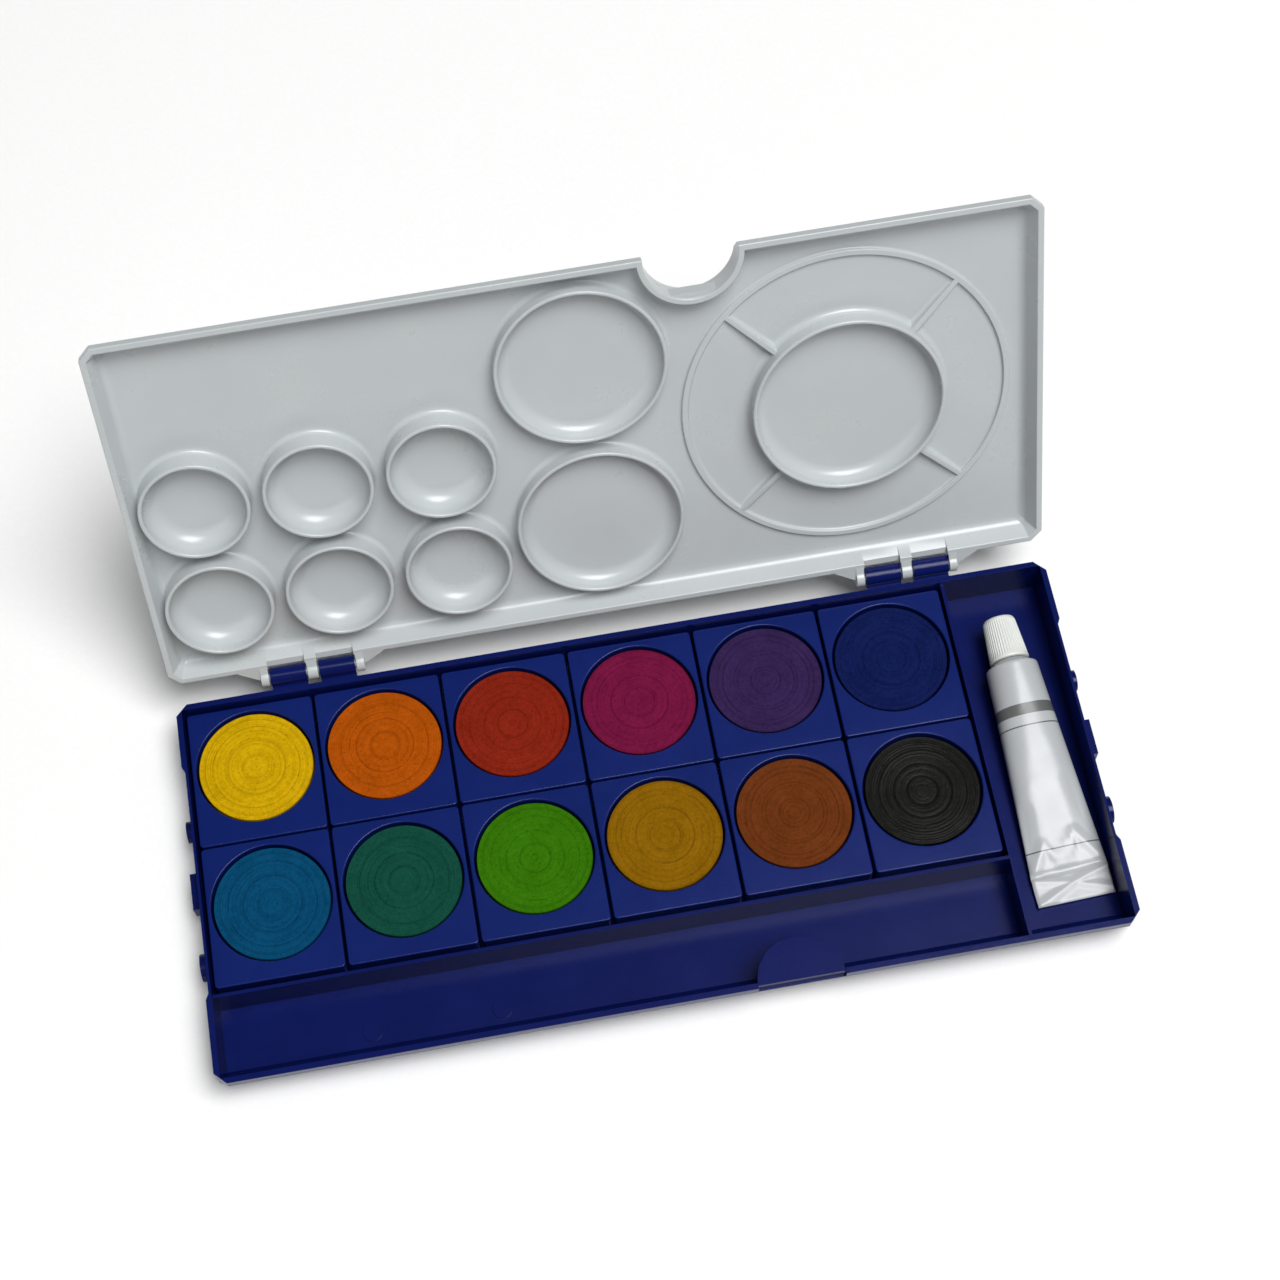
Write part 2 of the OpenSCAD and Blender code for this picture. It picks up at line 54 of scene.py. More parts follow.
camera.matrix_world = Matrix.LocRotScale(
    VIEWPOINT, Matrix((right, right.cross(look), -look)).transposed(), None)
bpy.context.scene.camera = camera

# Tray: one injection moulding in blue polystyrene, with walls 1.5 mm thick. It holds
# the pans, a channel for brushes and the tube's compartment, and carries the
# barrels of the two hinges, the thumb pad and the pegs for a water cup.
TRAY_W, TRAY_D = 235.4, 103.15
FRONT, BACK, LEFT = -TRAY_D / 2, TRAY_D / 2, -TRAY_W / 2
FLOOR_T, MOULDED_R = 1.4, 0.32
EJECTOR_MARKS, EJECTOR_R, EJECTOR_RISE = ((-78.6, -41.2), (-45.2, -41.2)), 2.6, 0.4
HAND_MARK = 22


def linear(hex_colour):
    """Turns an sRGB hex colour into the linear colour that a shader takes."""
    channels = [int(hex_colour[i:i + 2], 16) / 255 for i in (0, 2, 4)]
    return [c / 12.92 if c <= 0.04045 else ((c + 0.055) / 1.055) ** 2.4 for c in channels] + [1]


def add(tree, kind, settings, inputs):
    """Adds a node; settings are its own properties, inputs are values or the sockets that feed them."""
    made = tree.nodes.new(kind)
    for key, value in settings.items():
        setattr(made, key, value)
    for key, value in inputs.items():
        if isinstance(value, bpy.types.NodeSocket):
            tree.links.new(value, made.inputs[key])
        else:
            made.inputs[key].default_value = value
    return made


def blank_material(name):
    """A material with nothing but its output, and the coordinates that patterns follow."""
    material = bpy.data.materials.new(name)
    material.use_nodes = True
    tree = material.node_tree
    tree.nodes.clear()
    output = add(tree, "ShaderNodeOutputMaterial", {}, {})
    place = add(tree, "ShaderNodeTexCoord", {}, {}).outputs["Object"]
    return material, tree, output, place


def moulded_polystyrene(name, colour, worn, roughness, grain_mm, grain_depth, level):
    """Injection-moulded polystyrene. The mould's spark-eroded steel leaves a fine grain
    that softens the gloss; handling leaves slightly duller and paler patches."""
    material, tree, output, place = blank_material(name)
    grain = add(tree, "ShaderNodeTexNoise", {}, {
        "Vector": place, "Scale": 1 / (grain_mm * MM), "Detail": 2.0, "Roughness": 0.6})
    handling = add(tree, "ShaderNodeTexNoise", {}, {
        "Vector": place, "Scale": 1 / (HAND_MARK * MM), "Detail": 5.0, "Roughness": 0.65})
    patches = add(tree, "ShaderNodeMapRange", {}, {
        "Value": handling.outputs["Fac"], "From Min": 0.35, "From Max": 0.75})
    shade = add(tree, "ShaderNodeMix", {"data_type": "RGBA"}, {
        "Factor": patches.outputs["Result"], 6: linear(colour), 7: linear(worn)})
    gloss = add(tree, "ShaderNodeMapRange", {}, {
        "Value": handling.outputs["Fac"], "From Min": 0.3, "From Max": 0.75,
        "To Min": roughness * 0.95, "To Max": roughness * 1.08})
    relief = add(tree, "ShaderNodeBump", {}, {
        "Height": grain.outputs["Fac"], "Distance": grain_depth * MM, "Strength": 1.0})
    surface = add(tree, "ShaderNodeBsdfPrincipled", {}, {
        "Base Color": shade.outputs[2], "Roughness": gloss.outputs["Result"], "IOR": 1.59,
        "Specular IOR Level": level, "Normal": relief.outputs["Normal"]})
    tree.links.new(surface.outputs["BSDF"], output.inputs["Surface"])
    return material


def seat(piece, material, body, nodes):
    """Gives a piece its material and body, and hides the CAD nodes it stands for."""
    piece.data.materials.clear()
    piece.data.materials.append(material)
    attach(piece, body)
    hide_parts(*nodes)


def finished(bm, name, sharp_deg=35):
    """Closes a mesh that was built in millimetres and shades it smooth between sharp edges."""
    bmesh.ops.remove_doubles(bm, verts=bm.verts, dist=0.0005)
    bmesh.ops.dissolve_degenerate(bm, edges=bm.edges, dist=0.0005)
    bmesh.ops.recalc_face_normals(bm, faces=bm.faces)
    bmesh.ops.scale(bm, vec=(MM, MM, MM), verts=bm.verts)
    mesh = bpy.data.meshes.new(name)
    bm.to_mesh(mesh)
    bm.free()
    mesh.set_sharp_from_angle(angle=math.radians(sharp_deg))
    piece = bpy.data.objects.new(name, mesh)
    bpy.context.scene.collection.objects.link(piece)
    weights = piece.modifiers.new("even_shading", "WEIGHTED_NORMAL")
    weights.keep_sharp = True
    return piece


def add_loft(bm, rings, close_first=False, close_last=False):
    """Joins rings of points, all as long as each other, with faces, and can close both ends."""
    rows = [[bm.verts.new(p) for p in ring] for ring in rings]
    for low, high in zip(rows, rows[1:]):
        for i in range(len(low)):
            j = (i + 1) % len(low)
            bm.faces.new((low[i], low[j], high[j], high[i])).smooth = True
    if close_first:
        bm.faces.new(rows[0])
    if close_last:
        bm.faces.new(rows[-1])
    return rows


def tray_piece():
    """The tray's CAD solid with the small radii that every moulded edge has, and two round
    pads, where ejector pins push it from the mould, on the floor of the brush channel."""
    bm = bmesh.new()
    bm.from_mesh(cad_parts["tray"].data)
    bmesh.ops.scale(bm, vec=(1 / MM,) * 3, verts=bm.verts)
    bmesh.ops.remove_doubles(bm, verts=bm.verts, dist=0.001)
    for x, y in EJECTOR_MARKS:
        ring = [(x + EJECTOR_R * math.cos(a), y + EJECTOR_R * math.sin(a))
                for a in [math.tau * i / 40 for i in range(40)]]
        levels = (FLOOR_T - 0.3, FLOOR_T + EJECTOR_RISE)
        add_loft(bm, [[(u, v, z) for u, v in ring] for z in levels], True, True)
    # A fresh mesh keeps none of the solid's own shading.
    clean = bmesh.new()
    copies = {v: clean.verts.new(v.co) for v in bm.verts}
    for face in bm.faces:
        clean.faces.new([copies[v] for v in face.verts])
    bm.free()
    piece = finished(clean, "blue_tray", 180)
    radii = piece.modifiers.new("moulded_radii", "BEVEL")
    radii.width = MOULDED_R * MM
    radii.segments = 3
    radii.limit_method = "ANGLE"
    radii.angle_limit = math.radians(28)
    piece.modifiers.move(1, 0)
    return piece


tray_blue = moulded_polystyrene("blue_polystyrene_tray", "07134e", "0a1757", 0.22, 0.5, 0.02, 0.13)
seat(tray_piece(), tray_blue, "tray", ["tray"])

# Pans: twelve square cups in the same polystyrene, pressed full of paint and pushed
# into the tray side by side. Each has a round well, a flat top with rounded edges,
# an open underside and a thin skirt that stands on the tray's floor.
PAN_PITCH_X, PAN_PITCH_Y = 34.1, 38.15
PAN_HALF_W, PAN_HALF_D, PAN_CORNER = 16.65, 18.825, 1.0
PAN_TOP, WELL_FLOOR, WELL_R, WELL_BACK = 11.6, 4.4, 15.6, 1.5
PAN_WALL, EDGE_R, FOOT_FILLET = 1.2, 0.35, 0.5
PANS_LEFT, PANS_BACK = LEFT + 1.75, BACK - 1.75
MEET_SIDE, MEET_BACK = 7.112, 5.068


def pan_outline():
    """Points and outward directions round a pan. The straight sides have a point each where
    the cup's wall runs into the skirt, MEET_SIDE and MEET_BACK from the middle of the cup."""
    edge_w, edge_d = PAN_HALF_W - PAN_CORNER, PAN_HALF_D - PAN_CORNER
    long_side = sorted([-edge_d + 2 * edge_d * i / 26 for i in range(1, 26)]
                       + [WELL_BACK - MEET_SIDE, WELL_BACK + MEET_SIDE])
    front_side = [-edge_w + 2 * edge_w * i / 24 for i in range(1, 24)]
    back_side = sorted(front_side + [-MEET_BACK, MEET_BACK])
    found = []
    for turn, (cx, cy) in enumerate(((1, -1), (1, 1), (-1, 1), (-1, -1))):
        for i in range(6):
            a = math.radians(turn * 90 - 90 + 18 * i)
            out = Vector((math.cos(a), math.sin(a)))
            found.append((Vector((cx * edge_w, cy * edge_d)) + out * PAN_CORNER, out))
        if turn == 0:
            found += [(Vector((PAN_HALF_W, y)), Vector((1, 0))) for y in long_side]
        elif turn == 1:
            found += [(Vector((x, PAN_HALF_D)), Vector((0, 1))) for x in reversed(back_side)]
        elif turn == 2:
            found += [(Vector((-PAN_HALF_W, y)), Vector((-1, 0))) for y in reversed(long_side)]
        else:
            found += [(Vector((x, -PAN_HALF_D)), Vector((0, -1))) for x in front_side]
    return found


def pan_mesh(cx, cy):
    """One pan, in millimetres, with its middle at cx and cy."""
    outline = pan_outline()
    well = Vector((0, WELL_BACK))
    rays = [(p - well).normalized() for p, _ in outline]
    skirt = []
    for ray in rays:
        across = (PAN_HALF_W - PAN_WALL) / abs(ray.x) if abs(ray.x) > 1e-9 else 1e9
        deep = (PAN_HALF_D - PAN_WALL) - math.copysign(WELL_BACK, ray.y)
        along = deep / abs(ray.y) if abs(ray.y) > 1e-9 else 1e9
        near = min(across, along)
        skirt.append(WELL_R + PAN_WALL if abs(near - WELL_R - PAN_WALL) < 0.01 else near)

    def circle(r, z):
        return [(cx + ray.x * r, cy + WELL_BACK + ray.y * r, z) for ray in rays]

    def inset(e, z):
        return [(cx + p.x - out.x * e, cy + p.y - out.y * e, z) for p, out in outline]

    def along_rays(reach, z):
        return [(cx + ray.x * r, cy + WELL_BACK + ray.y * r, z) for ray, r in zip(rays, reach)]

    quarter = [math.radians(a) for a in (0, 22.5, 45, 67.5, 90)]
    bend, foot, edge = FOOT_FILLET, WELL_R - FOOT_FILLET, PAN_TOP - EDGE_R
    rings = [circle(4, WELL_FLOOR), circle(foot, WELL_FLOOR)]
    rings += [circle(foot + bend * math.sin(a), WELL_FLOOR + bend - bend * math.cos(a)) for a in quarter[1:]]
    rings += [circle(WELL_R + EDGE_R - EDGE_R * math.cos(a), edge + EDGE_R * math.sin(a)) for a in quarter]
    rings += [inset(EDGE_R - EDGE_R * math.sin(a), edge + EDGE_R * math.cos(a)) for a in quarter]
    rings += [inset(0, FLOOR_T + 0.25), inset(0.08, FLOOR_T + 0.07), inset(0.25, FLOOR_T)]
    rings.append(along_rays(skirt, FLOOR_T))
    bm = bmesh.new()
    rows = add_loft(bm, rings, close_first=True)
    cup = [min(WELL_R + PAN_WALL, reach) for reach in skirt]
    pocket = [rows[-1]] + [[bm.verts.new(p) for p in along_rays(reach, z)] for reach, z in (
        (skirt, PAN_TOP - PAN_WALL), (cup, PAN_TOP - PAN_WALL), (cup, FLOOR_T))]
    count = len(rays)
    for i in range(count):
        j = (i + 1) % count
        if max(skirt[i] - cup[i], skirt[j] - cup[j]) > 1e-3:
            for low, high in zip(pocket, pocket[1:]):
                bm.faces.new((low[i], low[j], high[j], high[i]))
    hollow = [pocket[-1]] + [[bm.verts.new(p) for p in circle(r, z)] for r, z in (
        (WELL_R - PAN_WALL, FLOOR_T), (WELL_R - PAN_WALL, WELL_FLOOR - PAN_WALL))]
    for low, high in zip(hollow, hollow[1:]):
        for i in range(count):
            j = (i + 1) % count
            bm.faces.new((low[i], low[j], high[j], high[i]))
    bm.faces.new(hollow[-1])
    return bm


COLOURS = ["yellow", "orange", "red", "magenta", "violet", "ultramarine",
           "cyan", "green", "lime", "ochre", "brown", "black"]
pan_blue = moulded_polystyrene("blue_polystyrene_pans", "091b5b", "0c1f63", 0.24, 0.45, 0.025, 0.16)
pan_middles = {}
for k, colour in enumerate(COLOURS):
    cx = PANS_LEFT + (k % 6 + 0.5) * PAN_PITCH_X
    cy = PANS_BACK - (k // 6 + 0.5) * PAN_PITCH_Y
    pan_middles[colour] = (cx, cy)
    seat(finished(pan_mesh(cx, cy), f"{colour}_pan_cup"), pan_blue,
         f"{colour}_pan", [f"pan_{colour}"])

# Tablets: gouache pressed dry into discs of 30 mm and turned flat, which leaves fine
# concentric grooves. The binder leaves them matt and slightly porous; the black
# one holds more binder and shines a little along its grooves.
TABLET_R, TABLET_TOP, TABLET_H, TABLET_SIDES = 15.0, 10.9, 6.5, 160
GROOVE_HALF, GROOVE_SCALE = 0.17, 2.4
TURNED = ((0.265, 0.1), (0.4, 0.03), (0.505, 0.09), (0.565, 0.03), (0.635, 0.06), (0.7, 0.03),
          (0.765, 0.08), (0.815, 0.04), (0.86, 0.06), (0.905, 0.05), (0.945, 0.06), (0.972, 0.04))
GOUACHE = {"yellow": "c39b00", "orange": "a54a00", "red": "7e1f0d", "magenta": "6c0f38",
           "violet": "301e49", "ultramarine": "0a174b", "cyan": "004367", "green": "0c4537",
           "lime": "316b00", "ochre": "825a00", "brown": "64300f", "black": "121210"}


def tablet_mesh(cx, cy, seed):
    """One tablet, in millimetres. Each groove is a ring pressed into the top, and the
    rim is slightly uneven."""
    radii = {0.6, 2.0, 3.2}
    cuts = [(f * TABLET_R * (1 + 0.006 * noise.noise(Vector((f * 9, seed, 3)))), depth)
            for f, depth in TURNED]
    for r, _ in cuts:
        radii.update((r - 2 * GROOVE_HALF, r - GROOVE_HALF, r, r + GROOVE_HALF, r + 2 * GROOVE_HALF))
    radii = sorted(r for r in radii if r < TABLET_R - 0.22)
    rings = []
    for r in radii:
        sunk = sum(GROOVE_SCALE * depth * math.exp(-((r - c) / GROOVE_HALF) ** 2) for c, depth in cuts)
        ring = []
        for i in range(TABLET_SIDES):
            a = math.tau * i / TABLET_SIDES
            x, y = r * math.cos(a), r * math.sin(a)
            uneven = 0.035 * noise.noise(Vector((x * 0.5, y * 0.5, seed * 7.3)))
            depth = sunk * (1 + 0.5 * noise.noise(Vector((x * 0.25, y * 0.25, seed * 3.1 + 20))))
            ring.append((cx + x, cy + WELL_BACK + y, TABLET_TOP - 0.05 - depth + uneven))
        rings.append(ring)
    for drop, out in ((0.06, 0.2), (0.13, 0.08), (0.26, 0.02), (0.5, 0.0), (TABLET_H, 0.0)):
        ring = []
        for i in range(TABLET_SIDES):
            a = math.tau * i / TABLET_SIDES
            chip = 0.05 * max(0.0, noise.noise(Vector((math.cos(a) * 5, math.sin(a) * 5, seed * 5.7))))
            r = TABLET_R - out - (chip if drop < 0.5 else 0)
            ring.append((cx + r * math.cos(a), cy + WELL_BACK + r * math.sin(a), TABLET_TOP - drop))
        rings.append(ring)
    bm = bmesh.new()
    add_loft(bm, rings, True, True)
    return bm


def pressed_gouache(name, colour, centre, roughness, level):
    """Pressed gouache: pigment and chalk with little binder, so it is matt, with pores and
    turning lines. Both are sunk by the bump and darkened in colour, which is painted shade.
    The real lines are a few tenths of a millimetre apart, and these are drawn about 1 mm
    apart, so that they show."""
    material, tree, output, place = blank_material(name)
    base = linear(colour)
    darker = [c * 0.72 for c in base[:3]] + [1]
    paler = [min(1, c * 1.25 + 0.004) for c in base[:3]] + [1]
    grains = add(tree, "ShaderNodeTexNoise", {}, {
        "Vector": place, "Scale": 1 / (0.8 * MM), "Detail": 4.0, "Roughness": 0.75})
    drift = add(tree, "ShaderNodeTexNoise", {}, {
        "Vector": place, "Scale": 1 / (6 * MM), "Detail": 3.0, "Roughness": 0.6})
    blotch = add(tree, "ShaderNodeMath", {"operation": "MULTIPLY_ADD"}, {
        0: drift.outputs["Fac"], 1: 0.5, 2: grains.outputs["Fac"]})
    spread = add(tree, "ShaderNodeMapRange", {}, {
        "Value": blotch.outputs["Value"], "From Min": 0.45, "From Max": 1.05})
    tint = add(tree, "ShaderNodeMix", {"data_type": "RGBA"}, {
        "Factor": spread.outputs["Result"], 6: darker, 7: paler})
    # Pores: dots that the bump sinks, darkened in colour as painted shade in the pores.
    pores = add(tree, "ShaderNodeTexVoronoi", {}, {
        "Vector": place, "Scale": 1 / (1.1 * MM), "Randomness": 1.0})
    pits = add(tree, "ShaderNodeMapRange", {}, {
        "Value": pores.outputs["Distance"], "From Min": 0.08, "From Max": 0.24})
    pore_shaded = add(tree, "ShaderNodeMix", {"data_type": "RGBA"}, {
        "Factor": pits.outputs["Result"], 6: darker, 7: tint.outputs[2]})
    offset = add(tree, "ShaderNodeVectorMath", {"operation": "SUBTRACT"}, {0: place, 1: centre})
    flat = add(tree, "ShaderNodeVectorMath", {"operation": "MULTIPLY"}, {
        0: offset.outputs["Vector"], 1: (1, 1, 0)})
    radius = add(tree, "ShaderNodeVectorMath", {"operation": "LENGTH"}, {0: flat.outputs["Vector"]})
    wobble = add(tree, "ShaderNodeMath", {"operation": "MULTIPLY_ADD"}, {
        0: drift.outputs["Fac"], 1: 0.5 * MM, 2: radius.outputs["Value"]})
    turns = add(tree, "ShaderNodeMath", {"operation": "MULTIPLY_ADD"}, {
        0: wobble.outputs["Value"], 1: 1 / (1.15 * MM), 2: 400 * centre[0]})
    turned = add(tree, "ShaderNodeTexNoise", {"noise_dimensions": "1D"}, {
        "W": turns.outputs["Value"], "Scale": 1.0, "Detail": 2.0, "Roughness": 0.6})
    lines = add(tree, "ShaderNodeMapRange", {}, {
        "Value": turned.outputs["Fac"], "From Min": 0.34, "From Max": 0.5})
    # The turning lines multiply the colour down to 0.88 in their grooves: painted shade in the grooves.
    groove_shaded = add(tree, "ShaderNodeMix", {"data_type": "RGBA", "blend_type": "MULTIPLY"}, {
        "Factor": 1.0, 6: pore_shaded.outputs[2]})
    shade = add(tree, "ShaderNodeMapRange", {}, {
        "Value": lines.outputs["Result"], "To Min": 0.88, "To Max": 1.02})
    tree.links.new(shade.outputs["Result"], groove_shaded.inputs[7])
    surface_height = add(tree, "ShaderNodeMath", {"operation": "MULTIPLY_ADD"}, {
        0: lines.outputs["Result"], 1: 0.4, 2: blotch.outputs["Value"]})
    pitted = add(tree, "ShaderNodeMath", {"operation": "MULTIPLY_ADD"}, {
        0: pits.outputs["Result"], 1: 0.35, 2: surface_height.outputs["Value"]})
    relief = add(tree, "ShaderNodeBump", {}, {
        "Height": pitted.outputs["Value"], "Distance": 0.16 * MM, "Strength": 1.0})
    surface = add(tree, "ShaderNodeBsdfPrincipled", {}, {
        "Base Color": groove_shaded.outputs[2], "Roughness": roughness, "IOR": 1.5,
        "Specular IOR Level": level, "Normal": relief.outputs["Normal"]})
    tree.links.new(surface.outputs["BSDF"], output.inputs["Surface"])
    return material


for k, colour in enumerate(COLOURS):
    cx, cy = pan_middles[colour]
    roughness, level = (0.2, 0.07) if colour == "black" else (0.9, 0.03)
    paint = pressed_gouache(f"pressed_gouache_{colour}", GOUACHE[colour],
                            (cx * MM, (cy + WELL_BACK) * MM, 0), roughness, level)
    seat(finished(tablet_mesh(cx, cy, k), f"{colour}_tablet", 60), paint,
         f"{colour}_pan", [f"paint_{colour}"])

# Lid: one injection moulding in white high-gloss polystyrene. Its inside is the mixing
# palette: six cups, two dishes and a ring with a dish in its middle, and it clips
# onto the tray's barrels with pins between its knuckles. It stands open at 117.4 degrees.
LID_H, LID_FLOOR, LID_RIM = 6.4, 5.0, 14.62
LID_SKIRT, LID_LEAN, LID_WALL = 2.1, 3.3, 1.6
HINGE_Y, HINGE_Z, LID_OPEN = BACK + 3.3, 15.5, 117.4
LID_EDGE_R, LID_BEND_R, LID_CUT, HINGE_CUT = 0.35, 0.6, 3, 1.5
THUMB_X, NOTCH_IN, NOTCH_R, NOTCH_FOOT_R, NOTCH_STEPS = 30.3, 0.9, 11.7, 0.9, 48
NOTCH_Y = FRONT + NOTCH_IN
SHELF_R, SHELF_BACK, SHELF_HALF, SHELF_ARC = 12.4, 10.2, 5.75, 31
HINGE_X = TRAY_W / 2 - 37.3
BARREL_START, BARREL_END, BARREL_CLEAR = 1.75, 11.25, 4.925
KNUCKLES, KNUCKLE_R, PIN_R, PIN_HALF = ((-13.8, -11.6), (-1.4, 1.4), (11.6, 13.8)), 2.35, 1.25, 12.7
GUSSET_IN, GUSSET_OUT, GUSSET_FOOT, WALL_REACH = 11.6, 13.8, 19.4, 0.8
CUP_X, CUP_Y, CUP_PITCH, CUP_R = LEFT + 17.8, BACK - 22.3, 31.2, 13.45
DISH_X, DISH_APART, DISH_R = LEFT + 118.425, 23.55, 21.25
PALETTE_X, PALETTE_Y, PALETTE_R, CORE_R = LEFT + 185.05, FRONT + 51.075, 41.85, 24.45
SPOKE_HALF, SPOKE_HIGH, SPOKE_LOW = 0.72, 2.4, 0.9


def rounded_corner(before, corner, after, r, steps):
    """Points of an arc of radius r that rounds the corner between two straight lines."""
    u, v = (before - corner).normalized(), (after - corner).normalized()
    half = u.angle(v) / 2
    reach = min(r / math.tan(half), 0.45 * (before - corner).length, 0.45 * (after - corner).length)
    r = reach * math.tan(half)
    middle = corner + (u + v).normalized() * (r / math.sin(half))
    start, end = corner + u * reach - middle, corner + v * reach - middle
    turn = start.angle_signed(end) if start.length > 1e-9 else 0
    points = []
    for i in range(steps + 1):
        a = -turn * i / steps
        points.append(middle + Vector((start.x * math.cos(a) - start.y * math.sin(a),
                                       start.x * math.sin(a) + start.y * math.cos(a))))
    return points


def lid_loop(margin, notch_r, h):
    """The lid's outline, drawn in by a margin and with the thumb notch bitten out, at depth
    h below the rim. At the hinge side the rim is cut back above the tray's barrels."""
    half_w, half_d = TRAY_W / 2 - margin, TRAY_D / 2 - margin
    cut = max(1.0, LID_CUT - margin * (2 - math.sqrt(2)))
    rise = margin - NOTCH_IN
    notch_x = math.sqrt(notch_r ** 2 - rise ** 2)
    corners = [(-half_w + cut, -half_d), "notch", (half_w - cut, -half_d), (half_w, -half_d + cut),
               (half_w, half_d - cut), (half_w - cut, half_d), "hinges", (-half_w + cut, half_d),
               (-half_w, half_d - cut), (-half_w, -half_d + cut)]
    turns = [Vector(c) for c in corners if not isinstance(c, str)]
    points, n = [], 0
    for c in corners:
        if c == "notch":
            lean = math.asin(rise / notch_r)
            first, last = math.pi - lean, lean
            lip = 0.05
            bite = []
            for i in range(NOTCH_STEPS + 1):
                a = first - lip + (last - first + 2 * lip) * i / NOTCH_STEPS
                bite.append(Vector((THUMB_X + notch_r * math.cos(a), NOTCH_Y + notch_r * math.sin(a))))
            ends = (Vector((THUMB_X - notch_x, -half_d)), Vector((THUMB_X + notch_x, -half_d)))
            lead = rounded_corner(Vector((-half_w, -half_d)), ends[0], bite[0], 0.5, 3)[:-1]
            tail = rounded_corner(bite[-1], ends[1], Vector((half_w, -half_d)), 0.5, 3)[1:]
            points += [(*p, h) for p in lead + bite + tail]
        elif c == "hinges":
            for x in (HINGE_X, -HINGE_X):
                for side in (1, -1):
                    middle = x + side * (BARREL_START + BARREL_END) / 2
                    start, stop, high = middle + BARREL_CLEAR, middle - BARREL_CLEAR, max(h, HINGE_CUT)
                    points += [(start, half_d, h), (start, half_d, high),
                               (stop, half_d, high), (stop, half_d, h)]
        else:
            corner = Vector(c)
            before, after = turns[n - 1], turns[(n + 1) % len(turns)]
            points += [(*p, h) for p in rounded_corner(before, corner, after, 0.6, 3)]
            n += 1
    return points


def lid_levels():
    """Margin, notch radius and depth of each loop, from the outside of the plate over the
    rim to the inner floor, with every edge rounded."""
    def rounded(points, radii):
        line = [Vector(points[0])]
        for i, r in enumerate(radii, 1):
            line += rounded_corner(Vector(points[i - 1]), Vector(points[i]), Vector(points[i + 1]), r, 4)
        return line + [Vector(points[-1])]

    def bend(past, r):
        return r * (1 - math.sqrt(max(0, 1 - min(1, max(0.0, past) / r) ** 2)))

    inner = LID_WALL + LID_LEAN * LID_FLOOR / LID_H
    line = rounded([(LID_LEAN + 3, LID_H), (LID_LEAN, LID_H), (0, LID_SKIRT), (0, 0), (LID_WALL, 0),
                    (inner, LID_FLOOR), (inner + 3.6, LID_FLOOR)],
                   (0.8, 0.5, LID_EDGE_R, LID_EDGE_R, 3.2))
    levels = []
    for i, (margin, h) in enumerate(line):
        low = bend(LID_EDGE_R - h, LID_EDGE_R)
        if margin < 0.8 or h > LID_FLOOR + 0.01 or i < 12:
            r = NOTCH_R + bend(h - (LID_H - LID_BEND_R), LID_BEND_R) + low
        else:
            r = NOTCH_R + LID_WALL - low + bend(h - (LID_FLOOR - NOTCH_FOOT_R), NOTCH_FOOT_R)
        levels.append((max(margin, 0.0), r, h))
    return levels


def arc(x, y, r, start, end, steps):
    """Points of an arc about x and y, from start to end in degrees."""
    return [(x + r * math.cos(math.radians(start + (end - start) * i / steps)),
             y + r * math.sin(math.radians(start + (end - start) * i / steps))) for i in range(steps + 1)]


def well_profile(r, top, bowl, foot):
    """Radius and depth from the foot outside a well, over its rounded rim, to its floor."""
    edge, half = (0.5, 0.55) if r < 40 else (0.3, 0.8)
    room = 0.94 * (LID_FLOOR - top - edge)
    bowl, foot = min(bowl, room), min(foot, room)
    line = arc(r + half + foot, LID_FLOOR - foot, foot, 90, 180, 6)
    line += arc(r + half - edge, top + edge, edge, 0, -90, 5)
    line += arc(r - half + edge, top + edge, edge, -90, -180, 5)
    line += arc(r - half - bowl, LID_FLOOR - bowl, bowl, 0, 90, 10)
    return line


def spoke_loops(cx, cy, turn):
    """Cross-sections of one spoke, from the middle dish out to the ring, with fillets at its
    foot and a slightly crowned top."""
    loops = []
    first, last = CORE_R - 0.25, PALETTE_R + 0.15
    for step in range(9):
        r = first + (last - first) * step / 8
        height = SPOKE_HIGH + (SPOKE_LOW - SPOKE_HIGH) * (r - CORE_R) / (PALETTE_R - CORE_R)
        half, foot, edge = SPOKE_HALF, min(0.9, height * 0.6), 0.25
        section = [(half + foot, 0.25)]
        section += arc(half + foot, -foot, foot, 90, 180, 4)
        section += arc(half - edge, -height + edge, edge, 0, -90, 3)
        section += [(-x, z) for x, z in reversed(section)]
        out, across = (math.cos(turn), math.sin(turn)), (-math.sin(turn), math.cos(turn))
        loops.append([(cx + r * out[0] + t * across[0], cy + r * out[1] + t * across[1], LID_FLOOR + z)
                      for t, z in section])
    return loops


def add_block(bm, points, x0, x1, edge_r):
    """A solid with one outline in y and h, from x0 to x1, with its two faces' edges rounded."""
    middle = Vector((sum(p[0] for p in points) / len(points), sum(p[1] for p in points) / len(points)))
    rings = []
    for x, e in ((x0, edge_r), (x0 + edge_r * 0.3, edge_r * 0.3), (x0 + edge_r, 0), (x1 - edge_r, 0),
                 (x1 - edge_r * 0.3, edge_r * 0.3), (x1, edge_r)):
        ring = []
        for p in points:
            out = Vector(p) - middle
            q = middle + out * max(0.0, 1 - e / out.length)
            ring.append((x, q.x, q.y))
        rings.append(ring)
    add_loft(bm, rings, True, True)


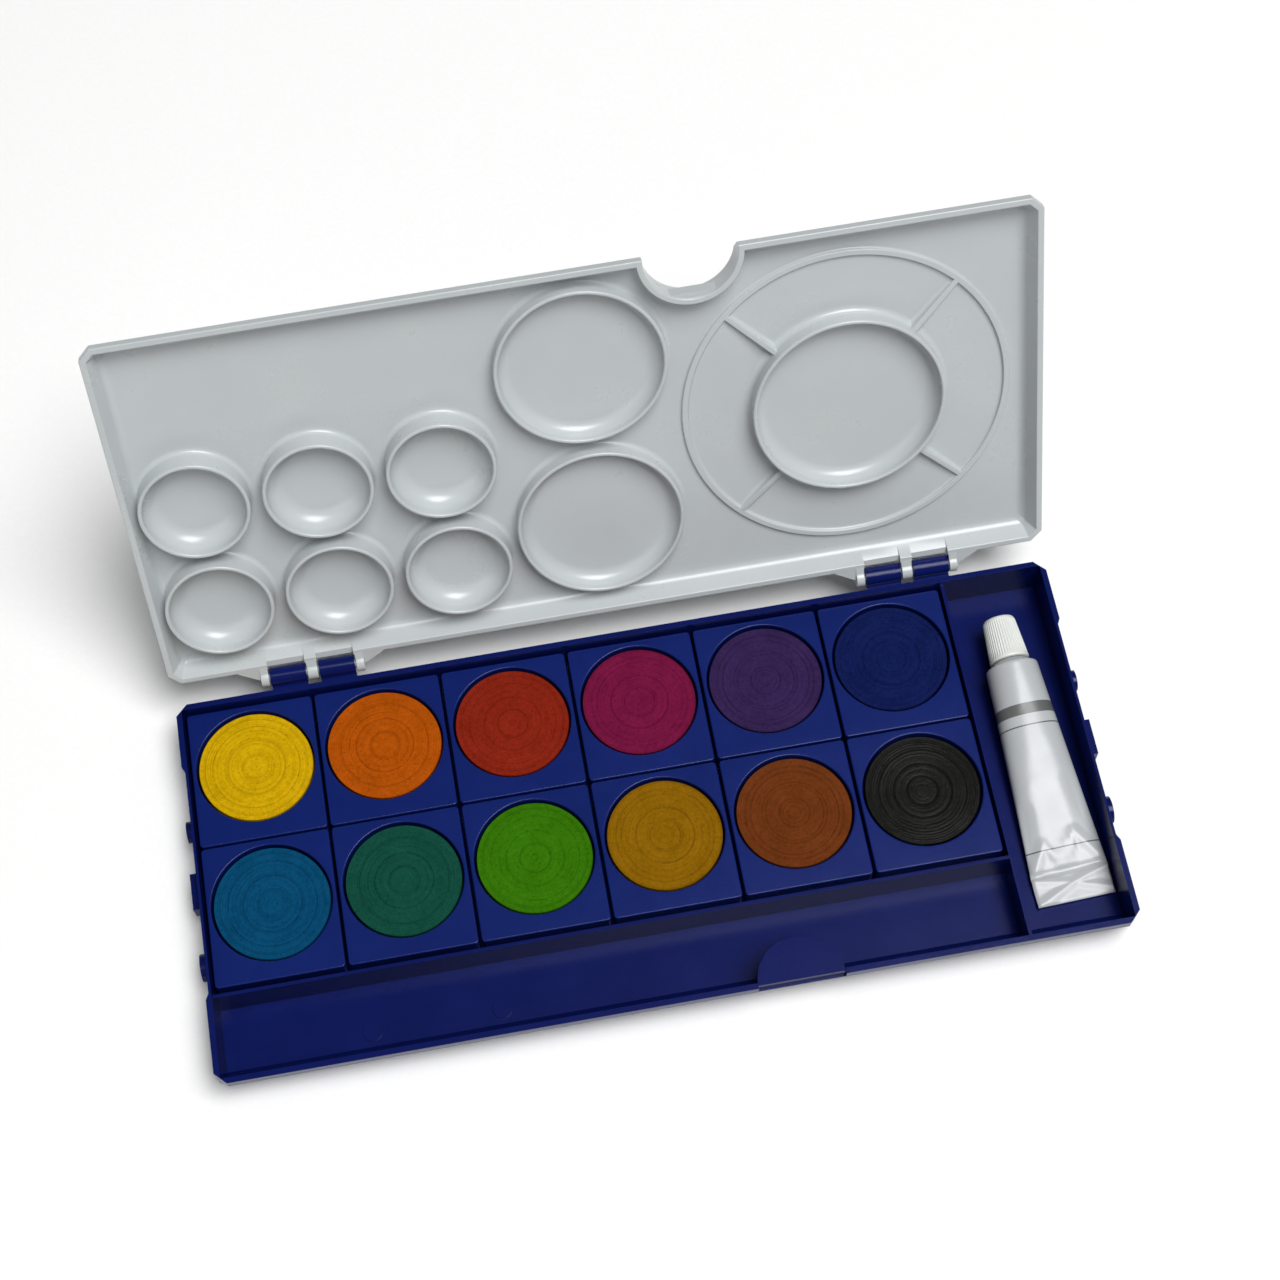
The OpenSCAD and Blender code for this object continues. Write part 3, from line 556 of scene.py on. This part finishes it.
def lid_mesh():
    """The whole lid in its closed place, in millimetres, x along the hinge, y from the free
    edge to the hinge and depth counted up from the rim."""
    bm = bmesh.new()
    add_loft(bm, [lid_loop(*level) for level in lid_levels()], close_first=True)
    bmesh.ops.remove_doubles(bm, verts=bm.verts, dist=0.002)
    rims = [e for e in bm.edges
            if len(e.link_faces) == 1 and all(abs(v.co.z - LID_FLOOR) < 1e-4 for v in e.verts)]
    plate = bmesh.ops.triangle_fill(bm, use_beauty=True, use_dissolve=False, edges=rims, normal=(0, 0, 1))
    for face in plate["geom"]:
        if isinstance(face, bmesh.types.BMFace):
            face.smooth = False
    # Each well: its place, its radius, the depth of its rim, the radii at the foot of its wall
    # inside and outside, and the number of its sides.
    wells = [(CUP_X + CUP_PITCH * i, CUP_Y - CUP_PITCH * j, CUP_R, -1.4, 4.5, 1.2, 112)
             for i in range(3) for j in range(2)]
    wells += [(DISH_X, PALETTE_Y + s * DISH_APART, DISH_R, 0.4, 3.5, 1.2, 144) for s in (-1, 1)]
    wells += [(PALETTE_X, PALETTE_Y, PALETTE_R, 4.1, 0.55, 0.9, 192)]
    wells += [(PALETTE_X, PALETTE_Y, CORE_R, 0, 3.5, 1.6, 192)]
    buried, raised = LID_FLOOR + 0.5, 0.02
    for x, y, r, top, bowl, foot, count in wells:
        line = well_profile(r, top, bowl, foot)
        line = [(line[0][0], buried)] + line
        closed = r < 40
        if not closed:
            line.append((line[-1][0], buried))
        turns = [math.tau * i / count for i in range(count)]
        rings = [[(x + q * math.cos(a), y + q * math.sin(a), h - (raised if h < buried else 0))
                  for a in turns] for q, h in line]
        rows = add_loft(bm, rings, close_first=closed, close_last=closed)
        if not closed:
            for i in range(count):
                j = (i + 1) % count
                bm.faces.new((rows[-1][i], rows[-1][j], rows[0][j], rows[0][i]))
    for k in range(4):
        add_loft(bm, spoke_loops(PALETTE_X, PALETTE_Y, math.radians(45 + 90 * k)), True, True)
    shelf = arc(THUMB_X, NOTCH_Y, SHELF_R, 90 + SHELF_ARC, 90 - SHELF_ARC, 16)
    shelf += [(THUMB_X + SHELF_HALF, NOTCH_Y + SHELF_BACK), (THUMB_X - SHELF_HALF, NOTCH_Y + SHELF_BACK)]
    add_loft(bm, [[(x, y, h) for x, y in shelf] for h in (0.8, 0.95, 3.85, 4.0)], True, True)
    axis = (HINGE_Y, HINGE_Z - LID_RIM)
    for x in (-HINGE_X, HINGE_X):
        wall = BACK - WALL_REACH
        for start, end in KNUCKLES:
            tip = arc(axis[0], axis[1], KNUCKLE_R, -150, 100, 24)
            add_block(bm, [(wall, 0), (wall, LID_SKIRT)] + tip[::-1], x + start, x + end, 0.25)
        add_block(bm, arc(axis[0], axis[1], PIN_R, 0, 348, 29), x - PIN_HALF, x + PIN_HALF, 0.1)
        for side in (-1, 1):
            plan = [(x + side * GUSSET_IN, wall), (x + side * GUSSET_IN, HINGE_Y),
                    (x + side * GUSSET_OUT, HINGE_Y), (x + side * GUSSET_FOOT, BACK),
                    (x + side * GUSSET_FOOT, wall)]
            add_loft(bm, [[(u, v, h) for u, v in plan] for h in (0.02, 1.68)], True, True)
    for v in bm.verts:
        v.co.z += LID_RIM
    pivot = Vector((0, HINGE_Y, HINGE_Z))
    opened = Matrix.Rotation(math.radians(-LID_OPEN), 3, "X")
    bmesh.ops.rotate(bm, verts=bm.verts, cent=pivot, matrix=opened)
    return bm


lid_white = moulded_polystyrene("white_polystyrene_lid", "bbc0c1", "b7bcbe", 0.28, 3.0, 0.004, 0.42)
seat(finished(lid_mesh(), "white_lid", 40), lid_white, "lid", ["lid"])

# Tube: thin aluminium, lacquered white, with a shoulder and neck pressed into one end
# and the other end flattened and folded over. It is filled with white gouache, and it
# carries a plain grey band and two thin grey lines. Its folded end is pinched.
TUBE_R, TUBE_L, TUBE_SIDES, TUBE_STEPS = 7.0, 57.5, 96, 96
FOLD_L, FOLD_HALF, FOLD_T, FOLD_STEPS, FOLD_SIDES = 7.2, 10.4, 1.3, 24, 84
PAN_SLACK, RIB_T, TUBE_ROOM = 0.25, 0.9, 26.4
TUBE_X = PANS_LEFT + 6 * PAN_PITCH_X + PAN_SLACK + RIB_T + TUBE_ROOM / 2
TUBE_Y, TUBE_Z, TUBE_TILT, TUBE_TURN = BACK - 27.1, 8.7, 5.5, -2.2
SHOULDER = ((1.4, 8.8), (2.9, 8.8), (3.2, 8.5), (3.2, 2.3), (3.9, 1.85), (4.3, 1.72),
            (6.4, 0.35), (6.8, 0.12), (6.96, -0.2))
BANDS = ((-13.2, 1.5), (-17.6, 0.18), (-50.5, 0.18))
on_tube = (Matrix.Translation((TUBE_X, TUBE_Y, TUBE_Z)) @ Matrix.Rotation(math.radians(-90), 4, "X")
           @ Matrix.Rotation(math.radians(TUBE_TILT), 4, "X")
           @ Matrix.Rotation(math.radians(TUBE_TURN), 4, "Y"))
# Each crease: its two ends across the tube and from the fold, its height and its width.
CREASES = (((-9.9, -6.9), (0.4, -2.4), 0.5, 1.9), ((0.4, -2.4), (9.9, 0.2), 0.5, 1.8),
           ((-9.9, -0.4), (0.4, -2.4), 0.36, 1.5), ((0.4, -2.4), (9.9, -5.6), 0.36, 1.6),
           ((-10.2, 0.9), (10.2, 1.5), -0.45, 1.0), ((-8.8, 2.2), (-5.2, 8.5), 0.5, 2.2),
           ((-5.2, 8.5), (-1.2, 3.0), 0.42, 1.9), ((-1.2, 3.0), (3.4, 10.5), 0.5, 2.3),
           ((3.4, 10.5), (8.8, 3.4), 0.48, 2.2), ((-8.6, 8.0), (-7.6, 18.0), -0.3, 2.8),
           ((0.5, 12.0), (-2.5, 22.0), -0.2, 3.4), ((7.0, 13.0), (6.0, 24.0), -0.26, 3.2))


def creased(x, u):
    """How far in mm the pinched foil stands up at x across the tube and u from its fold."""
    ridge = dent = 0
    for (x0, u0), (x1, u1), size, width in CREASES:
        start, line = Vector((x0, u0)), Vector((x1 - x0, u1 - u0))
        p = Vector((x, u)) - start
        share = min(1.0, max(0.0, p.dot(line) / line.length_squared))
        height = size * max(0.0, 1 - (p - line * share).length / width)
        ridge, dent = max(ridge, height), min(dent, height)
    return ridge + dent


def tube_ring(z, margin, count=TUBE_SIDES):
    """One cross-section of the tube at z along it: round at the shoulder, flat at the fold."""
    s = min(1.0, max(0.0, -z / TUBE_L))
    flat = s ** 1.08
    ring = []
    for i in range(count):
        a = math.tau * i / count
        c, t = math.cos(a), math.sin(a)
        soft = math.copysign(abs(c) ** 0.55, c)
        x = (1 - flat) * (TUBE_R - margin) * c + flat * (FOLD_HALF - margin) * soft
        thin = (FOLD_T / 2 - margin * 0.5) * math.copysign(abs(t) ** 0.7, t)
        y = (1 - flat) * (TUBE_R - margin) * t + flat * thin
        if t < 0:
            y *= 1 + 0.05 * math.sin(math.pi * s)
            if margin == 0:
                lift = creased(x, z + TUBE_L)
                dent = 0.09 * noise.noise(Vector((x * 0.22, z * 0.13, 4))) * min(1, s * 3)
                y -= (lift + dent) * min(1.0, -t * 2)
        ring.append(on_tube @ Vector((x, y, z)))
    return ring


def tube_mesh():
    """The tube's body: nozzle, neck and shoulder, the tapering body and the folded end."""
    turns = [math.tau * i / TUBE_SIDES for i in range(TUBE_SIDES)]
    rings = [[on_tube @ Vector((r * math.cos(a), r * math.sin(a), z)) for a in turns] for r, z in SHOULDER]
    for k in range(1, TUBE_STEPS + 1):
        rings.append(tube_ring(-TUBE_L * k / TUBE_STEPS, 0))
    bm = bmesh.new()
    add_loft(bm, rings, True, True)
    folds = []
    for step in range(FOLD_STEPS + 1):
        z = -TUBE_L + 0.5 - (FOLD_L + 0.5) * step / FOLD_STEPS
        from_end = min(step, FOLD_STEPS - step)
        half_t = FOLD_T / 2 - (0.22 if from_end == 0 else 0.06 if from_end == 1 else 0)
        ring = []
        for i in range(FOLD_SIDES):
            share = i / (FOLD_SIDES // 2)
            side = 1 if share < 1 else -1
            x = (1 - 2 * share if side > 0 else 2 * share - 3) * (FOLD_HALF - 0.05)
            edge = max(0.0, abs(x) - FOLD_HALF + 0.5) / 0.5
            y = side * half_t * math.sqrt(max(0.04, 1 - edge ** 2))
            wave = 0.1 * noise.noise(Vector((x * 0.35, z * 0.5, 11)))
            pinch = creased(x, z + TUBE_L) * (0.9 if side < 0 else 0.4)
            ring.append(on_tube @ Vector((x, y - side * 0.12 + wave * 0.5 - pinch, z)))
        folds.append(ring)
    add_loft(bm, folds, True, True)
    return bm


def lacquered_aluminium(name):
    """White baked lacquer on soft aluminium: smooth and fairly glossy, with shallow dents from
    fingers, and a plain grey band and two thin lines in grey ink."""
    material, tree, output, place = blank_material(name)
    to_metres, to_mm = Matrix.Diagonal((MM, MM, MM, 1)), Matrix.Diagonal((1 / MM, 1 / MM, 1 / MM, 1))
    inverse = (to_metres @ on_tube @ to_mm).inverted()
    along = inverse.to_3x3()[2]
    start = (inverse @ Vector((0, 0, 0)))[2]
    distance = add(tree, "ShaderNodeVectorMath", {"operation": "DOT_PRODUCT"}, {0: place, 1: tuple(along)})
    depth = add(tree, "ShaderNodeMath", {"operation": "ADD"}, {0: distance.outputs["Value"], 1: start})
    printed = None
    for middle, half in BANDS:
        band = add(tree, "ShaderNodeMath", {"operation": "COMPARE"}, {
            0: depth.outputs["Value"], 1: middle * MM, 2: half * MM})
        printed = band if printed is None else add(tree, "ShaderNodeMath", {"operation": "MAXIMUM"}, {
            0: printed.outputs["Value"], 1: band.outputs["Value"]})
    smudge = add(tree, "ShaderNodeTexNoise", {}, {"Vector": place, "Scale": 1 / (9 * MM), "Detail": 4.0})
    ground = add(tree, "ShaderNodeMix", {"data_type": "RGBA"}, {
        "Factor": smudge.outputs["Fac"], 6: linear("b4b7b9"), 7: linear("aeb1b4")})
    colour = add(tree, "ShaderNodeMix", {"data_type": "RGBA"}, {
        "Factor": printed.outputs["Value"], 6: ground.outputs[2], 7: linear("5c605f")})
    gloss = add(tree, "ShaderNodeMapRange", {}, {
        "Value": smudge.outputs["Fac"], "To Min": 0.26, "To Max": 0.4})
    relief = add(tree, "ShaderNodeBump", {}, {
        "Height": smudge.outputs["Fac"], "Distance": 0.25 * MM, "Strength": 0.6})
    surface = add(tree, "ShaderNodeBsdfPrincipled", {}, {
        "Base Color": colour.outputs[2], "Roughness": gloss.outputs["Result"], "IOR": 1.52,
        "Normal": relief.outputs["Normal"]})
    tree.links.new(surface.outputs["BSDF"], output.inputs["Surface"])
    return material


seat(finished(tube_mesh(), "tube_with_fold", 50), lacquered_aluminium("lacquered_aluminium"),
     "tube", ["tube_body"])

# Filling: white gouache paste, which stays inside the tube and shows in no view.
PASTE_START, PASTE_L, TUBE_WALL = 0.8, TUBE_L - 3.0, 0.7
filling = bmesh.new()
add_loft(filling, [tube_ring(-PASTE_START - PASTE_L * k / 24, TUBE_WALL, 48) for k in range(25)], True, True)
paste = pressed_gouache("white_gouache_paste", "f2f2f0", (0, 0, 0), 0.6, 0.3)
seat(finished(filling, "white_gouache_filling"), paste, "tube", ["tube_filling"])

# Cap: a screw cap in white polypropylene, moulded with fine ribs for the fingers and a
# smooth rounded top.
CAP_R, CAP_TOP_R, CAP_L, CAP_FOOT = 5.35, 4.3, 12.0, 2.0
RIBS, RIB_DEPTH, BORE_R = 44, 0.2, 3.28


def cap_mesh():
    """Rings of the cap from its foot to its top, outside, and the plain hole inside."""
    count = RIBS * 6
    levels = [(0.0, -0.12, 0.0), (0.12, 0.0, 0.0), (0.75, 0.0, 0.0), (0.95, 0.0, 1.0), (3, 0.0, 1.0),
              (6, 0.0, 1.0), (9, 0.0, 1.0), (10.6, 0.0, 1.0), (11.0, -0.02, 0.3), (11.35, -0.1, 0.0),
              (11.7, -0.26, 0.0), (11.9, -0.5, 0.0), (CAP_L, -0.85, 0.0)]
    rings = []
    for z, inward, ribbed in levels:
        ring = []
        for i in range(count):
            a = math.tau * i / count
            groove = ribbed * RIB_DEPTH * (0.5 - 0.5 * math.cos(a * RIBS)) ** 0.7
            r = CAP_R + (CAP_TOP_R - CAP_R) * z / CAP_L + inward - groove
            ring.append(on_tube @ Vector((r * math.cos(a), r * math.sin(a), CAP_FOOT + z)))
        rings.append(ring)
    turns = [math.tau * i / count for i in range(count)]
    hole = [[on_tube @ Vector((r * math.cos(a), r * math.sin(a), CAP_FOOT + z)) for a in turns]
            for r, z in ((BORE_R, 7.3), (BORE_R, 0.15), (BORE_R + 0.17, 0.0))]
    bm = bmesh.new()
    add_loft(bm, hole + rings, True, True)
    return bm


def moulded_polypropylene(name):
    """Polypropylene straight from the mould: white, slightly waxy and less glossy than the lid."""
    material, tree, output, place = blank_material(name)
    cloud = add(tree, "ShaderNodeTexNoise", {}, {"Vector": place, "Scale": 1 / (1.5 * MM), "Detail": 3.0})
    colour = add(tree, "ShaderNodeMix", {"data_type": "RGBA"}, {
        "Factor": cloud.outputs["Fac"], 6: linear("dde0db"), 7: linear("d5d8d3")})
    relief = add(tree, "ShaderNodeBump", {}, {"Height": cloud.outputs["Fac"], "Distance": 0.02 * MM})
    surface = add(tree, "ShaderNodeBsdfPrincipled", {}, {
        "Base Color": colour.outputs[2], "Roughness": 0.42, "IOR": 1.49, "Normal": relief.outputs["Normal"],
        "Subsurface Weight": 0.08, "Subsurface Radius": (1, 1, 1), "Subsurface Scale": 0.8 * MM})
    tree.links.new(surface.outputs["BSDF"], output.inputs["Surface"])
    return material


seat(finished(cap_mesh(), "ribbed_cap", 50), moulded_polypropylene("white_polypropylene"),
     "tube_cap", ["tube_cap"])

# Studio: a pale table top, one large soft light overhead and a little to the right, a
# weak fill from the front left and a dim even surround, so that the shadows stay soft.
TABLE_HALF, TABLE_Z = 3, -0.0002
floor_mesh = bpy.data.meshes.new("table_top")
table_corners = [(x * TABLE_HALF, y * TABLE_HALF, TABLE_Z) for x, y in ((-1, -1), (1, -1), (1, 1), (-1, 1))]
floor_mesh.from_pydata(table_corners, [], [(0, 1, 2, 3)])
table_top = bpy.data.objects.new("table_top", floor_mesh)
bpy.context.scene.collection.objects.link(table_top)
paper, paper_tree, paper_output, paper_place = blank_material("matt_white_paper")
fibre = add(paper_tree, "ShaderNodeTexNoise", {}, {
    "Vector": paper_place, "Scale": 1 / (1.2 * MM), "Detail": 4.0})
fibre_tone = add(paper_tree, "ShaderNodeMix", {"data_type": "RGBA"}, {
    "Factor": fibre.outputs["Fac"], 6: linear("f9f9f8"), 7: linear("f3f3f2")})
paper_surface = add(paper_tree, "ShaderNodeBsdfPrincipled", {}, {
    "Base Color": fibre_tone.outputs[2], "Roughness": 0.9, "Specular IOR Level": 0.2})
paper_tree.links.new(paper_surface.outputs["BSDF"], paper_output.inputs["Surface"])
table_top.data.materials.append(paper)

for name, place, aim, width, depth, watts in (
        ("overhead_softbox", (0.7, -0.5, 2.85), (0.0, 0.03, 0.03), 1.7, 1.5, 99),
        ("front_fill", (-0.9, -1.1, 0.9), (0.0, 0.0, 0.05), 1.2, 0.8, 2.2)):
    lamp = bpy.data.lights.new(name, "AREA")
    lamp.shape = "RECTANGLE"
    lamp.size, lamp.size_y, lamp.energy = width, depth, watts
    light = bpy.data.objects.new(name, lamp)
    bpy.context.scene.collection.objects.link(light)
    light.location = place
    light.rotation_euler = (Vector(aim) - Vector(place)).to_track_quat("-Z", "Y").to_euler()

world = bpy.data.worlds.new("dim_surround")
world.use_nodes = True
surround = world.node_tree.nodes["Background"].inputs
surround["Color"].default_value = (0.95, 0.97, 1.0, 1)
surround["Strength"].default_value = 0.1
bpy.context.scene.world = world
bpy.context.scene.view_settings.view_transform = "Standard"
